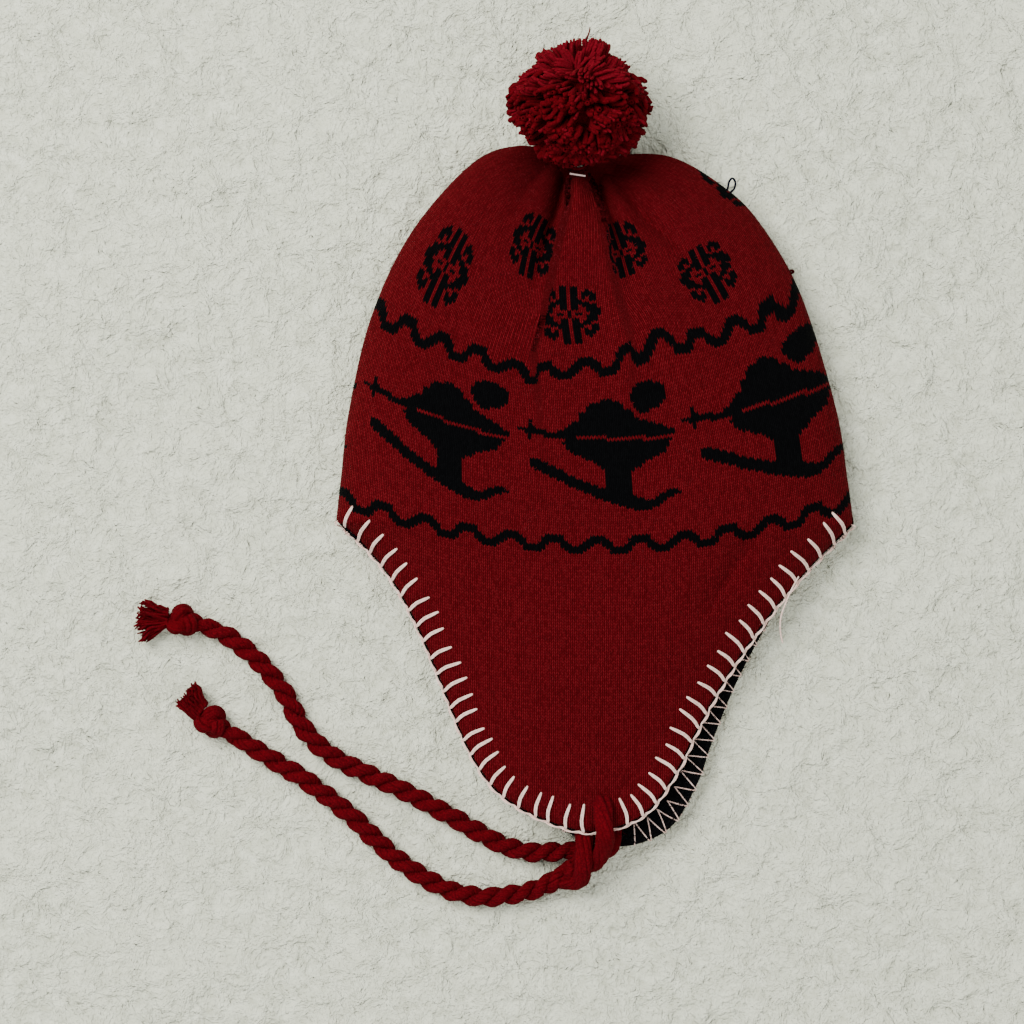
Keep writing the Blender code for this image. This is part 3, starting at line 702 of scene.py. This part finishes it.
NEAR_ROUTE = [
    (-9.6, -211.6, 12.4), (-14, -215.3, 10.5), (-18.5, -218.6, 8.6), (-23.5, -221.6, 6.4), (-29, -224, 5.2),
    (-35, -225.8, 5), (-43, -227.2, 5), (-55, -228, 5), (-66, -226.5, 5), (-77, -222.5, 5),
    (-88, -216.5, 5), (-99, -208.5, 5), (-108, -200.5, 5), (-118, -190.5, 5), (-129, -181, 5),
    (-137, -175, 5), (-145, -169, 5), (-154, -163.5, 5), (-164, -157.5, 5), (-174, -151, 5),
    (-182.5, -145.5, 5)]
FAR_ROUTE = [
    (-8, -204.8, 6), (-12, -204.8, 5.2), (-25, -205.8, 5), (-37, -204.8, 5), (-49, -200.5, 5),
    (-60, -194.5, 5), (-71, -188, 5), (-82, -182, 5), (-95, -175, 5), (-108, -169, 5), (-124, -161.5, 5),
    (-135, -154.5, 5), (-143, -146.5, 5), (-148.5, -138, 5), (-153, -129, 5), (-159, -120, 5),
    (-166, -112, 5), (-174, -104.5, 5), (-184, -97.5, 5), (-196, -92, 5)]


def rope_parts(path, radius, plies=2, yarns=8, phase=0.0, yarn_lay=11.0, taper=(1, 1)):
    """Tubes of a twisted rope along a path: each ply is a ring of yarns over a core."""
    run = run_along(path)
    _, right, up = frame_along(path)
    size = np.interp(run / run[-1], (0, .06, .94, 1), (taper[0], 1, 1, taper[1]))
    parts, cores = [], []
    radii, core_radii = [], []
    ply_off = radius * .47 if plies > 1 else 0
    ply_r = radius * .60 if plies > 1 else radius
    yarn_r = ply_r * .34
    wobble = RNG.normal(0, 1, (plies, 3))
    for k in range(plies):
        a = 2 * math.pi * (run / ROPE_LAY + k / plies) + phase + .25 * np.sin(run / 17 + wobble[k, 0])
        centre = path + (ply_off * size)[:, None] * (np.cos(a)[:, None] * right + np.sin(a)[:, None] * up)
        _, ply_right, ply_up = frame_along(centre)
        cores.append(centre)
        core_radii.append(ply_r * .78 * size)
        for j in range(yarns):
            jitter = RNG.normal(0, .35, 2)
            b = 2 * math.pi * (j / yarns - run / yarn_lay) + jitter[0] * .5
            off = (ply_r - yarn_r) * (1 + .10 * np.sin(run / 6 + 5 * jitter[1])) * size
            spoke = np.cos(b)[:, None] * ply_right + np.sin(b)[:, None] * ply_up
            parts.append(centre + off[:, None] * spoke)
            swell = 1 + .08 * np.sin(run / 3.1 + 9 * jitter[0])
            radii.append(yarn_r * (1 + .12 * jitter[1]) * size * swell)
    return join([tubes(parts, radii, 6), tubes(cores, core_radii, 8, caps=False)])


def fuzz_parts(path, radius, count, seed):
    """Short loose fibres around a path."""
    rng = np.random.default_rng(seed)
    k = rng.integers(0, len(path), count)
    d, right, up = frame_along(path)
    a = rng.uniform(0, 2 * math.pi, count)
    out = np.cos(a)[:, None] * right[k] + np.sin(a)[:, None] * up[k]
    start = path[k] + out * radius * .85
    bend = rng.normal(0, .55, (count, 3))
    reach = rng.uniform(.3, 1, count)[:, None] * 2.2
    mid = start + (out * .55 + d[k] * rng.uniform(-.7, .7, (count, 1)) + bend * .2) * reach
    tip = mid + (out * .3 + bend) * reach * .6
    return hairs(start, mid, tip, .07)


ROPES = {}
for side, route, seed in (("near", NEAR_ROUTE, 11), ("far", FAR_ROUTE, 12)):
    path = even(route, 1.0)
    twist = rope_parts(path, 5.0, phase=.8 if side == "near" else 2.0, taper=(.85, .8))
    rope = mesh_object(f"{side}_tie_rope", *twist, [YARN])
    fuzz = mesh_object(f"{side}_tie_fuzz", *fuzz_parts(path, 4.6, 1500, seed), [YARN])
    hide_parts(f"{side}_tie_cord")
    for piece in (fuzz, rope):
        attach(piece, f"{side}_tie")
    ROPES[side] = (rope, path)

for side, legs in (("near", (NEAR_FRONT_LEG, NEAR_BACK_LEG)), ("far", (FAR_LEGS,))):
    parts = []
    for k, line in enumerate(legs):
        path = even(line, .8)
        thick = 4.7 if side == "near" else 3.0
        parts.append(rope_parts(path, thick, plies=1, yarns=11, yarn_lay=-(70 + 30 * k), taper=(.8, .9)))
        parts.append(fuzz_parts(path, thick, 260, 21 + k))
    loop = mesh_object(f"{side}_tie_legs", *join(parts), [YARN])
    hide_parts(f"{side}_tie_loop")
    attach(loop, f"{side}_flap")


def knot_parts(centre, heading, size, neck):
    """A tight overhand knot, the whole cord wound through itself, with the bit of cord that enters it."""
    a = np.linspace(.35, 2 * math.pi - .35, 140)
    lobes = np.stack([np.sin(a) + 2 * np.sin(2 * a), np.cos(a) - 2 * np.cos(2 * a), -1.5 * np.sin(3 * a)], 1)
    lobes = lobes * size * .098
    turn = math.radians(heading)
    c, s = math.cos(turn), math.sin(turn)
    spin = np.array([(c, s, 0), (-s, c, 0), (0, 0, 1)], float)
    thick = size * .225
    wound = lobes @ spin + centre
    return join([rope_parts(wound, thick, plies=1, yarns=12, yarn_lay=38),
                 rope_parts(even(neck, .8), 4.5, taper=(.9, 1)),
                 dome(centre, size * .3, 24, 13, .05),
                 fuzz_parts(wound, thick, 420, int(abs(centre[0])))])


def tassel_parts(root, tip, count, seed, long, spread):
    """The frayed yarns past a knot, in seven clumps."""
    rng = np.random.default_rng(seed)
    axis = unit(tip - root)
    side = unit(np.cross(axis, (0, 0, 1)))
    up = np.cross(side, axis)
    s = np.linspace(0, 1, 7)[None, :, None]
    a = rng.uniform(0, 2 * math.pi, count)
    r = np.sqrt(rng.uniform(0, 1, count))
    start = root + (np.cos(a) * r)[:, None] * side * 5.2 + (np.sin(a) * r)[:, None] * up * 3.6
    clump = rng.integers(0, 7, count)
    fan = rng.normal(0, spread, (7, 2))[clump] * .8 + rng.normal(0, spread * .3, (count, 2))
    way = unit(axis + fan[:, :1] * side + np.clip(fan[:, 1:], -.22, .5) * up)
    length = (rng.uniform(.72, 1.05, count) * long)[:, None, None]
    wave = rng.normal(0, 1, (count, 2)) * 1.5
    kink = np.sin(s * math.pi * 1.9 + rng.uniform(0, 6, count)[:, None, None])
    bend = kink * s * (wave[:, None, :1] * side + wave[:, None, 1:] * up)
    path = start[:, None] + way[:, None] * s * length + bend
    path[..., 2] = np.maximum(path[..., 2], .7)
    radii = rng.uniform(.62, .95, count)[:, None] * np.array([1, 1, 1, 1, .95, .9, .5])[None, :]
    return tubes(path, radii, 5, caps=False)


for side, centre, heading, root, tip, seed in (
        ("near", (-191, -140.4, 8), 145, (-196, -135.5, 7.6), (-205, -127.6, 8.6), 31),
        ("far", (-205.5, -90.2, 8), 170, (-212.5, -89, 7.6), (-228.5, -87.4, 8.6), 32)):
    centre, root, tip = (np.array(v, float) for v in (centre, root, tip))
    rope, path = ROPES[side]
    neck = [path[-6], path[-1], centre]
    knot = mesh_object(f"{side}_tie_end_knot", *knot_parts(centre, heading, 17, neck), [YARN])
    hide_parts(f"{side}_tie_knot")
    frayed = tassel_parts(root, tip, 110, seed, 13 if side == "near" else 16, .42)
    tuft = mesh_object(f"{side}_tie_tuft", *frayed, [YARN])
    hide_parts(f"{side}_tie_tassel")
    for piece in (knot, tuft):
        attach(piece, f"{side}_tie")
    legs, fuzz = (bpy.data.objects[f"{side}_tie_{kind}"] for kind in ("legs", "fuzz"))

# ---- fleece lining
def fleece_side(near):
    """One side of the lining, inside the knit, with a thick rolled edge on the flap."""
    c, w = np.meshgrid(np.arange(LOWEST_COURSE, 118, 2.0), np.linspace(-1, 1, 101), indexing="ij")
    inset = FABRIC + 3.2 * ease((rib_at(c) - 2.2) / 1.6)
    x, y, z, tt = side_surface(near, c, w, 4 if near else 8, inset, FABRIC)
    squeeze = np.where(c < 0, 1, 1 - .035 * ease(tt / .6))
    mid = rib_plan(tt, np.zeros(c.shape))[..., 0]
    x = mid + (x - mid) * squeeze
    x, y, z, _, ok = onto_edge(near, c, x, y, z, 4.4, FABRIC)
    x, y = shifted(near, x, y)
    faces = grid_quads(x.shape)[ok]
    points = np.stack([x, y, z], -1).reshape(-1, 3)
    rim, edge = flap_rim(points, faces)
    outward = unit(points[edge, :2] - (0, -90))
    edge_x = points[edge, 0]
    corner = (1 + 1.4 * np.clip((-108 - edge_x) / 8, 0, 1)) * np.clip((128 - np.abs(edge_x)) / 7, 0, 1)
    up = np.full(len(edge), 1 if near else -1)
    rings = [np.column_stack([outward * (grow * corner)[:, None], up * rise])
             for grow, rise in ((.9, 1.0), (1.1, 2.2), (.2, 3.4))]
    points, faces = add_rings(points, faces, rim, edge, rings)
    used, faces = trimmed(faces)
    return points[used], faces


def fleece_fuzz(near, count, seed):
    """Short dark fibres along the lining's edge, where it shows."""
    rng = np.random.default_rng(seed)
    run = rng.uniform(6, EDGE_LONG - 6, count)
    n = edge_normal(run)
    depth = rng.uniform(-.9, 4 if near else 17, count)
    spot = edge_at(run) + n * depth[:, None]
    x, y = spot.T
    lift = rng.uniform(2.2, 5.4, count)
    rolled = depth < .3
    z = side_height(near, x, y, np.where(rolled, lift, FABRIC))
    x, y = shifted(near, x, y)
    out = np.column_stack([-n * rolled[:, None], np.where(rolled, 0, -1 if near else 1)])
    out = unit(out + rng.normal(0, .55, (count, 3)))
    start = np.column_stack([x, y, z])
    reach = rng.uniform(.5, 1.5, count)[:, None]
    mid = start + out * reach * .6
    tip = mid + (out + rng.normal(0, .7, (count, 3))) * reach * .6
    return hairs(start, mid, tip, .16)


for side, near, stands in (("near", True, ("near_flap_lining",)),
                           ("far", False, ("cap_lining", "far_flap_lining"))):
    lining = mesh_object(f"fleece_{side}_side", *fleece_side(near), [FLEECE])
    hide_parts(*stands)
    fuzz = mesh_object(f"fleece_{side}_fuzz", *fleece_fuzz(near, 2600 if near else 6500, 41 + near), [PILE])
    for piece in (lining, fuzz):
        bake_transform(piece)

# ---- blanket stitch
def stitch_mesh(near):
    """The legs over the knit and the double thread along the edge."""
    rng = np.random.default_rng(51 + near)
    parts = []
    place = STITCH_RUN + rng.normal(0, .45, STITCHES)
    e = edge_at(place)
    n = edge_normal(place)
    tilt = rng.normal(0, .07, STITCHES)
    c, s = np.cos(tilt), np.sin(tilt)
    way = np.stack([n[:, 0] * c - n[:, 1] * s, n[:, 0] * s + n[:, 1] * c], 1)
    along = np.stack([n[:, 1], -n[:, 0]], 1)
    long = rng.uniform(11.2, 13.8, STITCHES)
    tied = (np.abs(e[:, 0] - 3.5) < 5.2) & (e[:, 1] < -150)
    depths = np.array([-.75, -.95, -.5, .35, 2.2, 4.6, 7.2, 9.6, 11.4, 12.6]) / 12.6
    lifts = np.array([-2.6, -1.2, .1, .75, .85, .75, .65, .55, .25, -.7])
    splay = np.array([.5, .6, .75, .9, 1, 1, .95, .8, .5, .15])
    thick = np.array([.34, .37, .38, .41, .44, .45, .45, .43, .37, .27])
    for k in range(STITCHES):
        if tied[k]:
            continue
        bend = 1.8 * np.clip(1 - depths * long[k] / 6, 0, 1) ** 2 * (-1 if e[k, 0] > 3.5 else 1)
        for sign in (-1, 1):
            aside = along[k] * (sign * .45 * splay + bend)[:, None]
            x, y = (e[k] + way[k] * (depths * long[k])[:, None] + aside).T
            inner = e[k] + way[k] * np.maximum(depths * long[k], .3)[:, None]
            if near:
                dents = relief(*inner.T) * np.clip((1 - across(*inner.T)) / .12, 0, 1)
                z = near_height(*inner.T) + dents + lifts
            else:
                z = far_height(*inner.T) + .35 - np.clip(lifts, -3, .3)
            parts.append(tubes([np.column_stack([*shifted(near, x, y), z])], [thick], 6))
    # the edge thread
    run = np.arange(1.0, EDGE_LONG - 1, .8)
    e, n = edge_at(run), edge_normal(run)
    swell = np.abs(np.sin(np.pi * (run / STITCH_PITCH - .5)))
    for a in (0, math.pi):
        drop = 1.5 + .34 * np.sin(run / 2.6 + a) - .5 * swell
        if near:
            inward = -.85 - .75 * swell + .34 * np.cos(run / 2.6 + a)
        else:
            inward, drop = .2 + .3 * np.cos(run / 2.6 + a), drop * .4
        x, y = shifted(near, *(e + n * inward[:, None]).T)
        parts.append(tube(np.column_stack([x, y, side_height(near, *e.T, drop)]), .36, 6))
    return join(parts)


def inner_threads(near):
    """On the fleece the thread shows as thin slanting lines, two from each stitch."""
    rng = np.random.default_rng(61 + near)
    parts = []
    leg_x, leg_half = (3, 9) if near else (-2, 5)
    for run in STITCH_RUN:
        deep = rng.uniform(8.2, 10.4)
        for sign in (-1, 1):
            s = np.linspace(0, 1, 7)
            place = run + sign * (s * STITCH_PITCH * .46)
            depth = deep * (1 - s) - (.9 if near else 1.5) * s
            x, y = (edge_at(place) + edge_normal(place) * depth[:, None]).T
            if abs(x[0] - leg_x) < leg_half and y[0] < -160:
                continue
            inner = edge_at(place) + edge_normal(place) * np.maximum(depth, 0)[:, None]
            z = side_height(near, *inner.T, 6.1 - 1.6 * s ** 4 if near else 6.3 - 1.7 * s ** 5)
            parts.append(tube(np.column_stack([*shifted(near, x, y), z]), .34, 5))
    return join(parts)


NEAR_STITCHES = ("near_flap_stitching", "brim_stitching_left", "brim_stitching_right")
for side, near, stands in (("near", True, NEAR_STITCHES), ("far", False, ("far_flap_stitching",))):
    outer = mesh_object(f"{side}_blanket_stitch", *stitch_mesh(near), [THREAD])
    inner = mesh_object(f"{side}_inner_threads", *inner_threads(near), [THREAD])
    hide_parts(*stands)
    for piece in (outer, inner):
        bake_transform(piece)

# ---- pompom
POM = np.array([-7.5, 166.5, 33.0])
POM_HALF = np.array([35.0, 32.0, 30.5])
POM_STRANDS, POM_CLUMPS = 3000, 170
# Each hollow in the pompom: its direction, depth, width and the width left without strands
POM_PITS = ((-6.5, 21, 22), .62, .24, .15), ((9.5, 13.5, 27), .5, .20, .13)


def angle_to(d, way):
    return np.arccos(np.clip(d @ unit(way), -1, 1))


def pompom_parts():
    """The cut strands, clumped and partly chunkier below, over a hidden core, and one loose wisp."""
    rng = np.random.default_rng(71)
    count = POM_STRANDS
    d = unit(rng.normal(0, 1, (count, 3)))
    clumps = unit(rng.normal(0, 1, (POM_CLUMPS, 3)))
    nearest = (d @ clumps.T).argmax(1)
    d = unit(d + .42 * (clumps[nearest] - d) + rng.normal(0, .02, (count, 3)))
    root = d.copy()
    radius = rng.normal(.985, .022, count) + rng.normal(0, .035, POM_CLUMPS)[nearest]
    high = np.clip(d[:, 1] - .05, 0, 1)
    radius -= .34 * high * np.abs(d[:, 0])
    radius += .10 * bell(angle_to(d, np.array([.85, -.55, .1])) / .35)
    for pit, depth, wide, _ in POM_PITS:
        pit = unit(np.array(pit, float) / POM_HALF)
        angle = angle_to(d, pit)
        radius -= depth * bell(angle / wide)
        root = unit(root + 1.3 * bell(angle / .5)[:, None] * (pit - d))
    chunky = (d[:, 1] < .12) & (rng.uniform(0, 1, count) < .9)
    droop = rng.normal(0, .10, (POM_CLUMPS, 3))[nearest]
    sway = rng.normal(0, .06, (count, 3)) + droop
    sway[chunky] *= 1.9
    keep = ~chunky | (rng.uniform(0, 1, count) < .58) | (d[:, 1] < -.72)
    for pit, _, _, bare in POM_PITS:
        keep &= angle_to(d, np.array(pit, float) / POM_HALF) > bare
    d, root, radius, sway, chunky = (v[keep] for v in (d, root, radius, sway, chunky))
    radius[chunky] -= rng.uniform(0, .09, chunky.sum())
    count = len(d)
    steps = np.array([0, .3, .58, .86, .97, 1.0])
    paths = np.zeros((count, len(steps), 3))
    for j, s in enumerate(steps):
        way = unit(root + (d - root) * s ** .9 + sway * math.sin(s * 2.6))
        paths[:, j] = POM + way * POM_HALF * (radius * (.5 + .5 * s ** .8))[:, None]
    thick = (rng.uniform(.70, 1.0, count) * np.where(chunky, 1.62, 1))[:, None] * (.7, .9, 1, 1.05, .9, .35)
    strands = tubes(paths, thick, 5, caps=False)
    # Strands that are not chunky, mostly those on top, take the lighter yarn copy as painted light; the
    # chunky lower ones keep the plain yarn
    slots = np.repeat((~chunky).astype(int), len(strands[1]) // count)
    wisp = even([(-6.5, 190, 30), (-4.6, 196, 31), (-3, 200.5, 31), (-2.6, 203, 30)], .6)
    wisp = tubes([wisp], [np.linspace(.8, .3, len(wisp))], 5, caps=False)
    points, quads = join([strands, dome(POM, POM_HALF * .55, 32, 17, .03), wisp])
    return points, quads, np.concatenate([slots, np.zeros(len(quads) - len(slots), int)])


# The small strays: their finish, the body that carries them, the radius, the step and the route
STRAYS = {
    "loose_thread_tail": (THREAD, "near_flap", .38, 1, [
        (101, -68, 20), (97.5, -74, 23), (94.5, -81, 22), (92.2, -88, 20.5), (92, -95, 19),
        (93.2, -101, 18)]),
    "navy_pattern_loop": (NAVY, "crown", .55, .5, [
        (61.5, 122.5, 14), (63.5, 121.5, 15.5), (66.5, 122, 16), (69.3, 124.5, 16), (69.8, 127.8, 16),
        (68.4, 129.6, 16), (66.8, 128, 16), (66, 124.5, 15.8), (64.5, 120.5, 15), (62, 119, 13)]),
    "yarn_nub": (RED, "crown", .6, .4, [
        (94, 82.5, 16), (96.4, 83.4, 16.4), (98, 83.9, 15.8), (98.8, 83.2, 15), (96.4, 82, 14.5)])}

for name, (finish, body, radius, step, route) in STRAYS.items():
    item = mesh_object(name, *tube(even(route, step), radius, 6), [finish])
    if body == "near_flap":
        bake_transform(item)
    else:
        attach(item, body)


def surface_fuzz(mesh, count, seed):
    """Short fibres standing off the knit's red faces."""
    rng = np.random.default_rng(seed)
    centres = np.empty(len(mesh.polygons) * 3, np.float32)
    normals = np.empty(len(mesh.polygons) * 3, np.float32)
    slots = np.empty(len(mesh.polygons), np.int32)
    mesh.polygons.foreach_get("center", centres)
    mesh.polygons.foreach_get("normal", normals)
    mesh.polygons.foreach_get("material_index", slots)
    centres, normals = centres.reshape(-1, 3) / MM, normals.reshape(-1, 3)
    normals *= np.sign(normals[:, 2:] + 1e-9)
    picked = rng.choice(np.flatnonzero(slots == 0), count)
    flat = rng.normal(0, 1, (count, 3))
    flat = unit(flat - normals[picked] * (flat * normals[picked]).sum(1)[:, None])
    start = centres[picked] + flat * .5
    reach = rng.uniform(.5, 1.7, count)[:, None]
    mid = start + (flat * .8 + normals[picked] * .5) * reach * .5
    curl = normals[picked] * rng.uniform(-.5, .5, (count, 1)) + rng.normal(0, .4, (count, 3))
    tip = mid + (flat * .7 + curl) * reach * .6
    return hairs(start, mid, tip, .07)


haze = mesh_object("knit_near_haze", *surface_fuzz(near_knit.data, 9000, 81), [HAZE])
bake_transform(haze)

pom_points, pom_faces, pom_slots = pompom_parts()
pom = mesh_object("pompom_yarn", pom_points, pom_faces, [YARN, LIT_TOP_YARN], pom_slots)
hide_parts("pompom")
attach(pom, "pompom")
for name, finish in (("pompom_shank", YARN), ("pompom_anchor_knot", YARN), ("gather_thread", YARN),
                     ("tag_pin", PIN)):
    bpy.data.objects[name].data.materials.clear()
    bpy.data.objects[name].data.materials.append(finish)

# ---- floor, lights, camera
def blanket_material():
    m = Nodes("pale_blanket", rgb(220, 222, 198), .95, .1)
    big = m.noise(14, 3, rough=.6)
    mid = m.noise(70, 4, rough=.66, distort=.4)
    nap = m.noise(120, 4, rough=.62, distort=.3)
    pile = m.noise(520, 3, rough=.6, distort=.6)
    colour = m.mix(m.stretch(nap, .36, .62), rgb(197, 199, 172), rgb(235, 237, 211))
    colour = m.mix(m.stretch(mid, .38, .62, 0, .5), colour, rgb(212, 215, 187))
    colour = m.mix(m.stretch(big, .4, .62, 0, .35), colour, rgb(231, 232, 205))
    colour = m.mix(m.stretch(pile, .38, .6, 0, .35), colour, rgb(237, 239, 215))
    normal = m.bump(m.math("ADD", m.math("MULTIPLY", mid, .7), big), .012, .9)
    normal = m.bump(nap, .0033, .75, normal)
    normal = m.bump(pile, .0012, .8, normal)
    return m.finish(colour, normal)


bpy.ops.mesh.primitive_plane_add(size=30, location=(-.04, -.03, 0))
floor = bpy.context.object
floor.name = "pale_floor"
floor.data.materials.append(blanket_material())

camera = bpy.data.objects.new("photo_camera", bpy.data.cameras.new("photo_camera"))
bpy.context.scene.collection.objects.link(camera)
camera.location = (-.041, -.036, 2.2)
camera.data.lens = 154.7
camera.data.sensor_width = 36
bpy.context.scene.camera = camera


def area_light(name, place, aim, size, power):
    light = bpy.data.lights.new(name, "AREA")
    light.shape = "DISK"
    light.size = size
    light.energy = power
    item = bpy.data.objects.new(name, light)
    bpy.context.scene.collection.objects.link(item)
    item.location = place
    item.rotation_euler = (Vector(aim) - Vector(place)).to_track_quat("-Z", "Y").to_euler()


area_light("window", (-1.2, .9, 1.9), (0, -.03, 0), 1.5, 80)
area_light("fill", (.9, -1.1, 1.6), (0, -.03, 0), 1.8, 10)
world = bpy.data.worlds.new("soft_room")
bpy.context.scene.world = world
world.use_nodes = True
world.node_tree.nodes["Background"].inputs["Color"].default_value = (.93, .96, 1, 1)
world.node_tree.nodes["Background"].inputs["Strength"].default_value = .88
